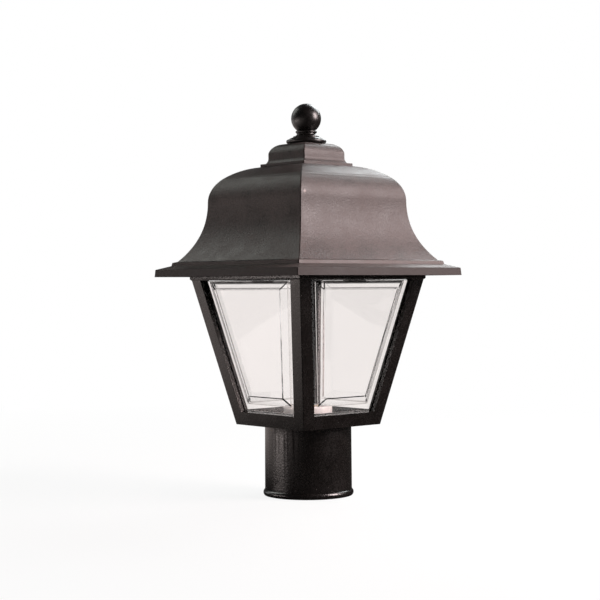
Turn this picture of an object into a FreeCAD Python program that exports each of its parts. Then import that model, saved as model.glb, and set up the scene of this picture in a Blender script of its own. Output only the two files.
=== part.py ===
import FreeCAD, Part
import math
import os

# A post-top lantern head: a tapered square cage with four bevelled clear panes, a bell-shaped hood
# with a ball finial, and a round collar that slips over the top of a post.
# Millimetres, +Z up. The origin is the centre of the collar's open lower end, where the post enters.

Vec = FreeCAD.Vector

# Post and collar
post_radius = 38.1
post_clearance = 0.4
post_depth = 46.0
post_stop_width = 3.0
post_lead_in = 1.2
collar_wall = 3.3
collar_draft = 0.3
collar_height = 67.7
bead_reach = 1.6
bead_height = 5.6
bead_foot_inset = 1.0
collar_root_radius = 1.0
plate_thickness = 4.0
plate_corner_radius = 3.0
plate_gap = 0.3

# Set screws that grip the post, in bosses on the two sides away from the lantern's front corner
set_screw_height = 23.0
set_screw_radius = 3.0
set_screw_length = 9.0
set_screw_gap = 0.4
set_boss_radius = 7.0
set_boss_reach = 3.2
set_socket_radius = 1.7
set_socket_depth = 3.0

# Cage
cage_foot_shelf = 7.75
cage_slope = 0.2161
cage_height = 139.8
cage_corner_radius = 0.9
corner_post_width = 13.5
foot_rail_height = 12.7
flange_depth = 4.2
slot_width = 3.0
slot_bite = 4.5
inner_lip_depth = 2.2
foot_wall = 5.0
gusset_height = 6.0
gusset_setback = 5.9
gusset_bite = 1.5

# Clear panes, moulded in one wall with a raised middle
pane_thickness = 2.6
pane_side_gap = 0.3
pane_head_gap = 0.4
pane_relief = 3.7
bevel_side_margin = 8.8
bevel_foot_margin = 7.6
bevel_head_margin = 2.4
bevel_width = 7.8
bevel_head_width = 6.8

# Ring that closes the pane slots and carries the hood
ring_height = 3.6
ring_lip = 1.4
ring_chamfer = 1.1
ring_width = 10.3
ring_tab_width = 22.0
ring_tab_reach = 8.0
ring_tab_drop = 3.0
ring_screw_inset = 6.0

# Crossbar and threaded rod
bar_width = 16.0
bar_thickness = 2.0
bar_rise = 10.0
bar_flat_half = 38.0
bar_ramp = 12.0
bar_bend_radius = 2.0
bar_bearing = 4.5
rod_radius = 3.0
rod_tail = 3.0
rod_engagement = 14.4
rod_gap = 0.3
nut_across_flats = 10.0
nut_height = 5.0
nut_bore_gap = 0.1
nut_face_share = 0.93
nut_chamfer_height = 0.6
washer_thickness = 1.6
washer_radius = 6.0

# Hood
brim_half = 105.6
fascia_height = 7.1
fascia_draft = 0.6
brim_rise = 3.6
riser_setback = 11.7
riser_height = 3.1
riser_draft = 0.7
ledge_rise = 1.0
hood_wall = 2.5
hollow_step = 0.35
neck_setback = 37.25
neck_height = 71.9
flare_upper_radius = 98.8
flare_lower_radius = 78.6
flare_turn = 11.3
shoulder_radius = 30.1
crown_radius = 49.05
shoulder_turn = 51.6
hip_flat = 0.5
seat_wall = 3.0
seat_inset = 2.7
rib_thickness = 2.5
rib_foot_gap = 3.0
rib_spacing = 52.0
rib_block_height = 28.0
rib_bite = 0.5
lug_width = 12.0
lug_thickness = 3.2
lug_drop = 2.6
lug_gap = 0.45
lug_spacing = 70.0
lug_web = 6.0
lug_lift = 0.4

# Cap on the crown of the hood
cap_lip_half = 31.9
cap_lip_height = 2.7
cap_ledge_half = 28.6
cap_foot_height = 5.3
cap_half = 26.4
cap_side_height = 4.9
cap_dome_height = 8.8
cap_top_half = 18.0
cap_dome_mid_run = 0.28
cap_dome_mid_rise = 0.56
cap_hollow_share = 0.75
cap_boss_radius = 8.0
cap_boss_drop = 9.0
rod_hole_gap = 1.0

# Finial, its insert and the sealing washer under it; a pair is a radius and a height above the finial's foot
seal_thickness = 1.0
seal_radius = 15.5
finial_flange_radius = 19.4
finial_flange_height = 3.1
finial_flange_rounding = 0.8
finial_crest = (16.8, 3.8)
finial_step = (14.8, 5.0)
finial_cone_foot = (12.6, 5.7)
finial_cone_top = (12.6, 6.5)
finial_hollow = (9.9, 7.6)
finial_neck = (9.0, 8.6)
finial_ring_foot = (9.0, 9.5)
finial_ring = (10.2, 11.4)
finial_ball_neck_radius = 8.4
finial_ball_radius = 14.5
finial_ball_rise = 23.8
insert_radius = 5.6
insert_length = 16.0
insert_gap = 0.05
insert_foot_gap = 0.4
insert_groove_foot = 6.0
insert_groove_width = 2.0
insert_groove_depth = 0.8

# Lamp socket and its bracket
socket_radius = 22.75
socket_height = 35.5
socket_floor = 7.0
contact_well_depth = 5.5
contact_well_radius = 9.0
socket_base_inset = 2.0
socket_base_height = 9.0
socket_foot_chamfer = 0.8
socket_rim_chamfer = 1.2
socket_rim_wall = 8.4
shell_radius = 13.25
shell_wall = 0.75
shell_gap = 0.1
shell_top_gap = 1.5
shell_floor_hole = 8.0
contact_width = 6.0
contact_thickness = 0.8
contact_rise = 4.6
contact_half = 6.5
contact_foot_length = 3.0
contact_ramp_end = -1.5
contact_tip = 3.0
contact_bend_radius = 0.4
bracket_width = 16.0
bracket_thickness = 1.5
bracket_leg_gap = 1.6
bracket_base_gap = 3.4
bracket_bend_radius = 1.6
bracket_ear_margin = 5.85
socket_screw_offset = 15.5
terminal_height = 4.6
terminal_pocket_depth = 4.5
terminal_pocket_radius = 4.2
terminal_head_inset = 0.8

# Screws: shank radius, head radius, head height and length below the head
screw_gap = 0.12
head_rounding_share = 0.3
recess_arm_share = 0.62
recess_width_share = 0.22
recess_depth_share = 0.3
small_screw = (1.7, 3.2, 2.0, 8.0)
fitter_screw = (1.9, 3.8, 2.3, 9.0)
ring_screw = (1.9, 3.8, 2.3, 11.0)
bar_screw = (1.9, 3.6, 2.2, 5.6)
socket_screw = (1.6, 3.0, 1.8, 5.5)
terminal_screw = (1.5, 3.4, 1.8, 3.4)
screw_margin = 7.0

# How far a cutter runs past the material
overrun = 1.0

# Levels and half-widths that follow from the sizes above
bore_radius = post_radius + post_clearance
collar_radius = bore_radius + collar_wall
throat_radius = bore_radius - post_stop_width
cage_foot_half = collar_radius + cage_foot_shelf
cage_foot_z = collar_height
plate_top_z = cage_foot_z + plate_thickness
cage_top_z = cage_foot_z + cage_height
window_foot_z = cage_foot_z + foot_rail_height
slot_foot_z = window_foot_z - slot_bite
slope_cos = 1.0 / math.sqrt(1.0 + cage_slope ** 2)
slope_sin = cage_slope * slope_cos
cage_wall = (flange_depth + slot_width + inner_lip_depth) / slope_cos
ring_top_z = cage_top_z + ring_height
bar_top_z = ring_top_z + bar_rise
neck_z = ring_top_z + neck_height
riser_half = brim_half - riser_setback
neck_half = brim_half - neck_setback
crown_turn = math.radians(shoulder_turn)
crown_x = neck_half - shoulder_radius + (shoulder_radius - crown_radius) * math.cos(crown_turn)
crown_z = neck_z + (shoulder_radius - crown_radius) * math.sin(crown_turn)
cap_foot_z = crown_z + math.sqrt(crown_radius ** 2 - (cap_lip_half - crown_x) ** 2)
cap_top_z = cap_foot_z + cap_lip_height + cap_foot_height + cap_side_height + cap_dome_height
finial_z = cap_top_z + seal_thickness
rod_top_z = finial_z + rod_engagement
bracket_z = post_depth + bracket_base_gap
socket_z = bracket_z + bracket_thickness
socket_top_z = socket_z + socket_height
shell_z = socket_z + socket_floor + contact_well_depth


def cage_half(z):
    """Half-width over the cage's outer faces at a level."""
    return cage_foot_half + cage_slope * (z - cage_foot_z)


def polygon_face(points):
    """Flat face inside straight edges through the points."""
    return Part.Face(Part.makePolygon([Vec(*p) for p in points] + [Vec(*points[0])]))


def hexagon_face(corner_radius, centre):
    """Flat hexagon at a centre, square to the axis."""
    corners = []
    for k in range(6):
        turn = math.radians(60 * k)
        corners.append(centre + Vec(math.cos(turn), math.sin(turn), 0) * corner_radius)
    return polygon_face(corners)


def rounded_square(half, radius, z):
    """Closed wire of a square with rounded corners, on the axis, at a level."""
    edges = []
    for k in range(4):
        turn = math.radians(90 * k)
        side = Vec(math.cos(turn), math.sin(turn), 0)
        along = Vec(-math.sin(turn), math.cos(turn), 0)
        start = side * half - along * (half - radius)
        end = side * half + along * (half - radius)
        mid = (side + along) * (half - radius) + (side + along).normalize() * radius
        after = along * half + side * (half - radius)
        for point in (start, end, mid, after):
            point.z = z
        edges.append(Part.makeLine(start, end))
        edges.append(Part.Arc(end, mid, after).toShape())
    return Part.Wire(edges)


def square_taper(half_low, half_high, radius, z_low, z_high):
    """Solid between two rounded squares."""
    wires = [rounded_square(half_low, radius, z_low), rounded_square(half_high, radius, z_high)]
    return Part.makeLoft(wires, True, True)


def square_block(half, radius, z_low, z_high):
    """Upright block with rounded corners."""
    face = Part.Face(rounded_square(half, radius, z_low))
    return face.extrude(Vec(0, 0, z_high - z_low))


def square_tube(half_inner, half_outer, z_low, z_high):
    """Upright square tube with plain corners."""
    size = z_high - z_low
    outer = Part.makeBox(2 * half_outer, 2 * half_outer, size, Vec(-half_outer, -half_outer, z_low))
    inner = Part.makeBox(2 * half_inner, 2 * half_inner, size, Vec(-half_inner, -half_inner, z_low))
    return outer.cut(inner)


def quarter_turns(shape):
    """The shape and its three copies, a quarter turn apart."""
    copies = []
    for k in range(4):
        copy = shape.copy()
        copy.rotate(Vec(0, 0, 0), Vec(0, 0, 1), 90 * k)
        copies.append(copy)
    return copies


def diagonal(shape):
    """A shape made along X, turned on to the +X+Y diagonal."""
    copy = shape.copy()
    copy.rotate(Vec(0, 0, 0), Vec(0, 0, 1), 45)
    return copy


def rod_between(radius, z_low, z_high):
    """Upright cylinder on the axis."""
    return Part.makeCylinder(radius, z_high - z_low, Vec(0, 0, z_low))


def turned(points):
    """Solid turned about the axis from (radius, height) points, closed along the axis."""
    z_low = points[0][1]
    z_high = points[-1][1]
    outline = [(0, 0, z_low)] + [(r, 0, z) for r, z in points] + [(0, 0, z_high)]
    return polygon_face(outline).revolve(Vec(0, 0, 0), Vec(0, 0, 1), 360)


def on_face(shape, side):
    """Move a shape from a sloping face's own frame to the cage.

    There x runs across the face, y runs up its slope from the cage's foot, and z points out of it.
    """
    placing = FreeCAD.Matrix(
        1, 0, 0, 0,
        0, -slope_sin, -slope_cos, -cage_foot_half,
        0, slope_cos, -slope_sin, cage_foot_z,
        0, 0, 0, 1)
    moved = shape.copy()
    moved.Placement = FreeCAD.Placement(placing)
    moved.rotate(Vec(0, 0, 0), Vec(0, 0, 1), 90 * side)
    return moved


def face_outline(z_low, z_high, inset, depth):
    """Corners of a trapezoid that keeps a distance from the posts' inner edges, in a face's frame."""
    corners = []
    for z, sign in ((z_low, -1), (z_low, 1), (z_high, 1), (z_high, -1)):
        half = cage_half(z) - corner_post_width - inset
        corners.append((sign * half, (z - cage_foot_z) / slope_cos, -depth))
    return corners


def face_prism(z_low, z_high, inset, depth_from, depth_to):
    """Prism through the face's thickness, in the face's frame."""
    face = polygon_face(face_outline(z_low, z_high, inset, depth_from))
    return face.extrude(Vec(0, 0, depth_from - depth_to))


def screw(sizes, countersunk=False):
    """Screw whose head's top is at the origin and whose shank points down."""
    shank, head, head_height, length = sizes
    if countersunk:
        top = Part.makeCone(shank, head, head_height, Vec(0, 0, -head_height))
        foot = -length
    else:
        top = Part.makeCylinder(head, head_height, Vec(0, 0, -head_height))
        top = top.makeFillet(head_rounding_share * head_height, [top.Edges[0]])
        foot = -head_height - length
    body = Part.makeCylinder(shank, -foot - 0.5 * head_height, Vec(0, 0, foot))
    recess = cross_recess(head)
    return top.fuse(body).removeSplitter().cut(recess)


def cross_recess(head):
    """Cross-shaped driver recess for a screw head whose top is at the origin."""
    arm = recess_arm_share * head
    width = recess_width_share * head
    depth = recess_depth_share * head
    first = Part.makeBox(2 * arm, width, depth, Vec(-arm, -width / 2, -depth))
    second = Part.makeBox(width, 2 * arm, depth, Vec(-width / 2, -arm, -depth))
    return first.fuse(second)


def screw_hole(sizes, countersunk=False):
    """Hole for the shank, and the countersink, of a screw set as in screw()."""
    shank, head, head_height, length = sizes
    below = length if countersunk else head_height + length
    hole = Part.makeCylinder(shank + screw_gap, below + overrun, Vec(0, 0, -below - overrun))
    if countersunk:
        hole = hole.fuse(Part.makeCone(shank + screw_gap, head + screw_gap, head_height,
                                       Vec(0, 0, -head_height)))
        hole = hole.fuse(Part.makeCylinder(head + screw_gap, overrun, Vec(0, 0, 0)))
    return hole


def aimed(shape, place, direction=(0, 0, 1)):
    """Move a shape so that its own +Z points along a direction from a place."""
    moved = shape.copy()
    turn = FreeCAD.Rotation(Vec(0, 0, 1), Vec(*direction))
    moved.Placement = FreeCAD.Placement(Vec(*place), turn)
    return moved


def corner_places(offset, z):
    """The four places on the diagonals."""
    return [(x * offset, y * offset, z) for x, y in ((1, 1), (-1, 1), (-1, -1), (1, -1))]


def bent_strip(points, thickness, width, bend_radius):
    """Steel strip bent along (x, z) points, which lie on the face to the left of its run."""
    offset = []
    for k, point in enumerate(points):
        here = Vec(point[0], 0, point[1])
        before = Vec(points[max(k - 1, 0)][0], 0, points[max(k - 1, 0)][1])
        after = Vec(points[min(k + 1, len(points) - 1)][0], 0, points[min(k + 1, len(points) - 1)][1])
        run_in = (here - before).normalize() if k > 0 else (after - here).normalize()
        run_out = (after - here).normalize() if k < len(points) - 1 else run_in
        right_in = Vec(run_in.z, 0, -run_in.x)
        right_out = Vec(run_out.z, 0, -run_out.x)
        middle = (right_in + right_out).normalize()
        offset.append(here + middle * (thickness / middle.dot(right_in)))
    outline = [(x, 0, z) for x, z in points] + [(p.x, 0, p.z) for p in reversed(offset)]
    face = polygon_face(outline)
    strip = face.extrude(Vec(0, width, 0))
    strip.translate(Vec(0, -width / 2, 0))
    count = len(points)
    for k in range(1, count - 1):
        for corner in (Vec(points[k][0], 0, points[k][1]), offset[k]):
            edges = [e for e in strip.Edges if is_upright_at(e, corner, width)]
            turn_left = is_left_turn(points, k)
            outside = (corner.x == points[k][0] and corner.z == points[k][1]) != turn_left
            radius = bend_radius + thickness if outside else bend_radius
            strip = strip.makeFillet(radius, edges)
    return strip


def is_upright_at(edge, corner, width):
    """True for an edge that crosses the strip's width at a corner of its outline."""
    away = [math.hypot(v.Point.x - corner.x, v.Point.z - corner.z) for v in edge.Vertexes]
    return max(away) < 1e-6 and abs(edge.Length - width) < 1e-6


def is_left_turn(points, k):
    """True where the outline turns to the left at a point."""
    ax, az = points[k][0] - points[k - 1][0], points[k][1] - points[k - 1][1]
    bx, bz = points[k + 1][0] - points[k][0], points[k + 1][1] - points[k][1]
    return ax * bz - az * bx > 0


# Collar that takes the post, cast with the square plate that closes the cage's foot


def plate_half():
    """Half-width of the collar's plate, inside the cage's foot."""
    return cage_foot_half - foot_wall - plate_gap


def fitter_screw_offset():
    """Distance of the fitter screws from the axis along X and Y."""
    return plate_half() - screw_margin


def set_screw_angles():
    """Directions of the two set screws, on the sides away from the front corner."""
    return (90, 180)


def make_fitter_collar():
    """Collar with a rolled bead, a stop for the post's end, and the plate under the cage."""
    foot_radius = collar_radius + collar_draft
    bead_radius = foot_radius + bead_reach
    p_mouth = Vec(bore_radius + post_lead_in, 0, 0)
    p_foot = Vec(bead_radius - bead_foot_inset, 0, 0)
    p_bead = Vec(bead_radius, 0, 0.5 * bead_height)
    p_bead_top = Vec(foot_radius, 0, bead_height)
    root = Vec(collar_radius, 0, cage_foot_z - collar_root_radius)
    root_mid = Vec(collar_radius + collar_root_radius * (1 - math.cos(math.pi / 4)), 0,
                   cage_foot_z - collar_root_radius * (1 - math.sin(math.pi / 4)))
    root_end = Vec(collar_radius + collar_root_radius, 0, cage_foot_z)
    path = [
        Part.makeLine(p_mouth, p_foot),
        Part.Arc(p_foot, p_bead, p_bead_top).toShape(),
        Part.makeLine(p_bead_top, root),
        Part.Arc(root, root_mid, root_end).toShape(),
        Part.makeLine(root_end, Vec(root_end.x, 0, plate_top_z)),
        Part.makeLine(Vec(root_end.x, 0, plate_top_z), Vec(throat_radius, 0, plate_top_z)),
        Part.makeLine(Vec(throat_radius, 0, plate_top_z), Vec(throat_radius, 0, post_depth)),
        Part.makeLine(Vec(throat_radius, 0, post_depth), Vec(bore_radius, 0, post_depth)),
        Part.makeLine(Vec(bore_radius, 0, post_depth), Vec(bore_radius, 0, post_lead_in)),
        Part.makeLine(Vec(bore_radius, 0, post_lead_in), p_mouth),
    ]
    tube = Part.Face(Part.Wire(path)).revolve(Vec(0, 0, 0), Vec(0, 0, 1), 360)
    plate = square_block(plate_half(), plate_corner_radius, cage_foot_z, plate_top_z)
    plate = plate.cut(rod_between(throat_radius, cage_foot_z - overrun, plate_top_z + overrun))
    collar = tube.fuse(plate)
    for angle in set_screw_angles():
        collar = collar.fuse(set_screw_boss(angle))
    collar = collar.removeSplitter()
    for angle in set_screw_angles():
        collar = collar.cut(side_cylinder(set_screw_radius + screw_gap, 0, 2 * collar_radius, angle))
    for place in corner_places(fitter_screw_offset(), cage_foot_z):
        collar = collar.cut(aimed(screw_hole(fitter_screw, True), place, (0, 0, -1)))
    for place in bracket_screw_places():
        collar = collar.cut(aimed(screw_hole(small_screw), place))
    return collar


def side_cylinder(radius, start, end, angle):
    """Cylinder that points out from the axis at the set screws' height."""
    cylinder = Part.makeCylinder(radius, end - start, Vec(start, 0, set_screw_height), Vec(1, 0, 0))
    cylinder.rotate(Vec(0, 0, 0), Vec(0, 0, 1), angle)
    return cylinder


def set_screw_boss(angle):
    """Pad that thickens the collar's wall round a set screw."""
    inside = (bore_radius + collar_radius) / 2
    pad = side_cylinder(set_boss_radius, throat_radius, collar_radius + set_boss_reach, angle)
    return pad.cut(rod_between(inside, 0, collar_height))


def make_set_screws():
    """Two headless screws with a socket in the outer end."""
    screws = []
    start = bore_radius + set_screw_gap
    for angle in set_screw_angles():
        body = side_cylinder(set_screw_radius, start, start + set_screw_length, angle)
        bottom = start + set_screw_length - set_socket_depth
        hexagon = hexagon_face(set_socket_radius, Vec(0, 0, 0))
        hexagon.rotate(Vec(0, 0, 0), Vec(0, 1, 0), 90)
        hexagon.translate(Vec(bottom, 0, set_screw_height))
        socket = hexagon.extrude(Vec(set_socket_depth + overrun, 0, 0))
        socket.rotate(Vec(0, 0, 0), Vec(0, 0, 1), angle)
        screws.append(body.cut(socket))
    return screws


def make_fitter_screws():
    """Countersunk screws that hold the plate up into the cage's gussets."""
    places = corner_places(fitter_screw_offset(), cage_foot_z)
    return [aimed(screw(fitter_screw, True), place, (0, 0, -1)) for place in places]


# Cage


def make_cage():
    """Four posts on a foot rail, cast in one, with slots that the panes slide down."""
    cage = square_taper(cage_foot_half, cage_half(cage_top_z), cage_corner_radius, cage_foot_z, cage_top_z)
    beyond_z = cage_top_z + slot_bite
    inner_low = cage_half(plate_top_z) - cage_wall
    inner_high = cage_half(beyond_z) - cage_wall
    cage = cage.cut(square_taper(inner_low, inner_high, cage_corner_radius, plate_top_z, beyond_z))
    recess = square_block(cage_foot_half - foot_wall, plate_corner_radius + plate_gap,
                          cage_foot_z - overrun, plate_top_z)
    cage = cage.cut(recess)
    total = flange_depth + slot_width + inner_lip_depth
    window = face_prism(window_foot_z, beyond_z, 0, -overrun, total + overrun)
    slot = face_prism(slot_foot_z, beyond_z, -slot_bite, flange_depth,
                      flange_depth + slot_width)
    for side in range(4):
        cage = cage.cut(on_face(window, side))
        cage = cage.cut(on_face(slot, side))
    for gusset in quarter_turns(make_gusset()):
        cage = cage.fuse(gusset)
    cage = cage.removeSplitter()
    for place in corner_places(fitter_screw_offset(), cage_foot_z):
        cage = cage.cut(aimed(screw_hole(fitter_screw, True), place, (0, 0, -1)))
    for place in corner_places(ring_screw_offset(), ring_top_z):
        cage = cage.cut(aimed(screw_hole(ring_screw, True), place))
    return cage


def make_gusset():
    """Web across one inner corner of the cage's foot, which takes a fitter screw."""
    corner = cage_half(plate_top_z) - cage_wall + gusset_bite
    reach = 2 * fitter_screw_offset() - math.sqrt(2) * gusset_setback
    low = reach - corner
    tips = [(corner, low), (corner, corner), (low, corner)]
    web = polygon_face([(x, y, plate_top_z) for x, y in tips])
    return web.extrude(Vec(0, 0, gusset_height))


def make_pane(side):
    """Clear pane with a raised middle and sloping bevels, standing in the cage's slots."""
    clearance = (slot_width - pane_thickness) / 2
    front = flange_depth + clearance
    back = front + pane_thickness
    # The pane's edges are square to its face, so its inner edge is the highest at the head.
    head = cage_top_z - pane_head_gap - back * slope_sin
    border = face_prism(slot_foot_z, head, pane_side_gap - slot_bite, front, back)
    outer = bevel_loft(0, front, front - pane_relief)
    # Stepping in by this much keeps the wall as thick in the bevels as in the flats.
    step = pane_thickness * math.tan(math.atan2(pane_relief, bevel_width) / 2)
    inner = bevel_loft(step, back, back - pane_relief)
    pane = border.fuse(outer).cut(inner)
    return on_face(pane.removeSplitter(), side)


def bevel_loft(step, depth_low, depth_high):
    """The raised middle as a shallow frustum, stepped in all round, in a face's frame."""
    foot = window_foot_z + bevel_foot_margin + step
    head = cage_top_z - bevel_head_margin - step
    side = bevel_side_margin + step
    low = face_outline(foot, head, side, depth_low)
    high = face_outline(foot + bevel_width, head - bevel_head_width, side + bevel_width, depth_high)
    wires = [polygon_face(low).OuterWire, polygon_face(high).OuterWire]
    return Part.makeLoft(wires, True, True)


# Ring, crossbar and rod at the head of the cage


def ring_outer_half():
    """Half-width over the ring's lip."""
    return cage_half(cage_top_z) + ring_lip


def ring_inner_half():
    """Half-width of the ring's opening."""
    return cage_half(cage_top_z) - ring_width


def ring_screw_offset():
    """Distance of the ring's screws from the axis along X and Y, over the posts."""
    return cage_half(cage_top_z) - ring_screw_inset


def bar_half():
    """Half-length of the crossbar, which ends inside the hood's seat."""
    return ring_inner_half() + bar_bearing


def bar_screw_place(sign):
    """Top of a crossbar screw's head."""
    x = ring_inner_half() - 0.5 * ring_tab_reach
    return (sign * x, 0, ring_top_z + bar_screw[2])


def make_top_ring():
    """Flat ring with a chamfered lip, pockets for the crossbar and four countersunk holes."""
    outer = ring_outer_half()
    edge_z = cage_top_z + ring_chamfer
    ring = square_taper(outer - ring_chamfer, outer, cage_corner_radius, cage_top_z, edge_z)
    ring = ring.fuse(square_block(outer, cage_corner_radius, edge_z, ring_top_z))
    inner = ring_inner_half()
    ring = ring.cut(square_block(inner, plate_corner_radius, cage_top_z - overrun, ring_top_z + overrun))
    drop_z = cage_top_z - ring_tab_drop
    tab_in = inner - ring_tab_reach
    drop_out = cage_half(drop_z) - cage_wall - lug_gap
    for sign in (-1, 1):
        low = min(sign * tab_in, sign * (inner + overrun))
        ring = ring.fuse(Part.makeBox(ring_tab_reach + overrun, ring_tab_width, ring_height,
                                      Vec(low, -ring_tab_width / 2, cage_top_z)))
        low = min(sign * tab_in, sign * drop_out)
        ring = ring.fuse(Part.makeBox(drop_out - tab_in, ring_tab_width, ring_tab_drop,
                                      Vec(low, -ring_tab_width / 2, drop_z)))
    ring = ring.removeSplitter()
    for sign in (-1, 1):
        low = min(sign * (tab_in - overrun), sign * (bar_half() + lug_gap))
        length = bar_half() + lug_gap - tab_in + overrun
        pocket = Part.makeBox(length, bar_width + 2 * screw_gap, bar_thickness + overrun,
                              Vec(low, -bar_width / 2 - screw_gap, ring_top_z - bar_thickness))
        ring = ring.cut(pocket)
        ring = ring.cut(aimed(screw_hole(bar_screw), bar_screw_place(sign)))
    for place in corner_places(ring_screw_offset(), ring_top_z):
        ring = ring.cut(aimed(screw_hole(ring_screw, True), place))
    return ring


def make_ring_screws():
    """Countersunk screws that fix the ring to the posts."""
    return [aimed(screw(ring_screw, True), p) for p in corner_places(ring_screw_offset(), ring_top_z)]


def make_crossbar():
    """Joggled steel strip from side to side, raised in the middle to clear the lamp."""
    points = [(-bar_half(), ring_top_z),
              (-bar_flat_half - bar_ramp, ring_top_z),
              (-bar_flat_half, bar_top_z),
              (bar_flat_half, bar_top_z),
              (bar_flat_half + bar_ramp, ring_top_z),
              (bar_half(), ring_top_z)]
    bar = bent_strip(points, bar_thickness, bar_width, bar_bend_radius)
    bar = bar.cut(rod_between(rod_radius + rod_gap, bar_top_z - 2 * bar_thickness, bar_top_z + overrun))
    for sign in (-1, 1):
        bar = bar.cut(aimed(screw_hole(bar_screw), bar_screw_place(sign)))
    return bar


def make_bar_screws():
    """Screws through the crossbar's ends."""
    return [aimed(screw(bar_screw), bar_screw_place(sign)) for sign in (-1, 1)]


def bar_stack():
    """Feet of the lower nut, the lower washer, the upper washer and the upper nut."""
    lower_washer = bar_top_z - bar_thickness - washer_thickness
    return (lower_washer - nut_height, lower_washer, bar_top_z, bar_top_z + washer_thickness)


def make_threaded_rod():
    """Rod that pulls the hood down, from the crossbar to the finial."""
    foot = bar_stack()[0] - rod_tail
    chamfer = 0.2 * rod_radius
    return turned([(rod_radius - chamfer, foot), (rod_radius, foot + chamfer),
                   (rod_radius, rod_top_z - chamfer), (rod_radius - chamfer, rod_top_z)])


def make_rod_nuts():
    """Hexagon nuts below and above the crossbar."""
    nuts = []
    corner = nut_across_flats / math.sqrt(3)
    for foot in (bar_stack()[0], bar_stack()[3]):
        top = foot + nut_height
        nut = hexagon_face(corner, Vec(0, 0, foot)).extrude(Vec(0, 0, nut_height))
        rounding = turned([(nut_face_share * corner, foot), (corner, foot + nut_chamfer_height),
                           (corner, top - nut_chamfer_height), (nut_face_share * corner, top)])
        nut = nut.common(rounding)
        nuts.append(nut.cut(rod_between(rod_radius + nut_bore_gap, foot - overrun, top + overrun)))
    return nuts


def make_rod_washers():
    """Flat washers between the nuts and the crossbar."""
    washers = []
    for foot in (bar_stack()[1], bar_stack()[2]):
        top = foot + washer_thickness
        hole = rod_between(rod_radius + rod_gap, foot - overrun, top + overrun)
        washers.append(rod_between(washer_radius, foot, top).cut(hole))
    return washers


# Hood


def arc_through(centre, radius, angle_from, angle_to):
    """Arc in the XZ plane by its centre, radius and two directions in degrees."""
    points = []
    for angle in (angle_from, (angle_from + angle_to) / 2, angle_to):
        turn = math.radians(angle)
        points.append(centre + Vec(radius * math.cos(turn), 0, radius * math.sin(turn)))
    return Part.Arc(*points).toShape()


def arc_angle_at(centre, radius, z):
    """Direction in degrees from an arc's centre to the point on its left where it reaches a level."""
    return 180 - math.degrees(math.asin((z - centre.z) / radius))


def bell_arcs(inset, foot_z, crown_half):
    """The flare's two hollow arcs and the shoulder's two full ones, upward from the flare's foot."""
    upper = Vec(neck_half + flare_upper_radius, 0, neck_z)
    turn = math.radians(180 + flare_turn)
    lower = upper + Vec(math.cos(turn), 0, math.sin(turn)) * (flare_upper_radius - flare_lower_radius)
    lower_radius = flare_lower_radius + inset
    foot_angle = arc_angle_at(lower, lower_radius, foot_z)
    shoulder = Vec(neck_half - shoulder_radius, 0, neck_z)
    crown = Vec(crown_x, 0, crown_z)
    crown_size = crown_radius - inset
    crown_angle = math.degrees(math.acos((crown_half - crown.x) / crown_size))
    return [
        arc_through(lower, lower_radius, foot_angle, 180 + flare_turn),
        arc_through(upper, flare_upper_radius + inset, 180 + flare_turn, 180),
        arc_through(shoulder, shoulder_radius - inset, 0, shoulder_turn),
        arc_through(crown, crown_size, shoulder_turn, crown_angle),
    ]


def joined(edges):
    """One edge after another, with a straight line wherever two do not meet."""
    result = []
    for edge in edges:
        if result:
            end = result[-1].valueAt(result[-1].LastParameter)
            start = edge.valueAt(edge.FirstParameter)
            if end.distanceToPoint(start) > 1e-6:
                result.append(Part.makeLine(end, start))
        result.append(edge)
    return result


def lines_through(points):
    """Straight edges through (half-width, level) points."""
    vectors = [Vec(x, 0, z) for x, z in points]
    return [Part.makeLine(a, b) for a, b in zip(vectors, vectors[1:])]


def hood_outline():
    """Outer outline of the hood, from the fascia's foot to the flat top of the cap."""
    fascia_top = ring_top_z + fascia_height
    riser_foot = fascia_top + brim_rise
    riser_top = riser_foot + riser_height
    edges = lines_through([(brim_half, ring_top_z), (brim_half - fascia_draft, fascia_top),
                           (riser_half, riser_foot), (riser_half - riser_draft, riser_top)])
    edges += bell_arcs(0, riser_top + ledge_rise, cap_lip_half)
    lip_top = cap_foot_z + cap_lip_height
    edges += lines_through([(cap_lip_half, cap_foot_z), (cap_lip_half, lip_top)])
    foot_run = cap_ledge_half - cap_half
    foot_radius = (foot_run ** 2 + cap_foot_height ** 2) / (2 * foot_run)
    foot_centre = Vec(cap_half + foot_radius, 0, lip_top + cap_foot_height)
    foot_angle = arc_angle_at(foot_centre, foot_radius, lip_top)
    edges.append(arc_through(foot_centre, foot_radius, foot_angle, 180))
    side_top = lip_top + cap_foot_height + cap_side_height
    dome_mid = Vec(cap_half - cap_dome_mid_run * (cap_half - cap_top_half), 0,
                   side_top + cap_dome_mid_rise * cap_dome_height)
    edges.append(Part.Arc(Vec(cap_half, 0, side_top), dome_mid, Vec(cap_top_half, 0, cap_top_z)).toShape())
    return joined(edges)


def hollow_outline(inset, top_z):
    """Inner outline of the hood's shell from the fascia's foot to the inside of the cap."""
    fascia_top = ring_top_z + fascia_height
    slope = brim_rise / (brim_half - fascia_draft - riser_half)
    drop = inset * math.sqrt(1 + slope ** 2)
    fascia_x = brim_half - fascia_draft - inset
    brim_z = fascia_top - drop + slope * inset
    flare_z = fascia_top + brim_rise - drop + hollow_step
    edges = lines_through([(brim_half - inset, ring_top_z - overrun), (fascia_x, brim_z)])
    edges += bell_arcs(inset, flare_z, cap_half - inset)
    side_top = top_z - cap_hollow_share * cap_dome_height
    edges += lines_through([(cap_half - inset, side_top), (cap_top_half - inset, top_z)])
    return joined(edges)


def outline_ends(edges):
    """First and last points of an outline."""
    return edges[0].valueAt(edges[0].FirstParameter), edges[-1].valueAt(edges[-1].LastParameter)


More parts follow.
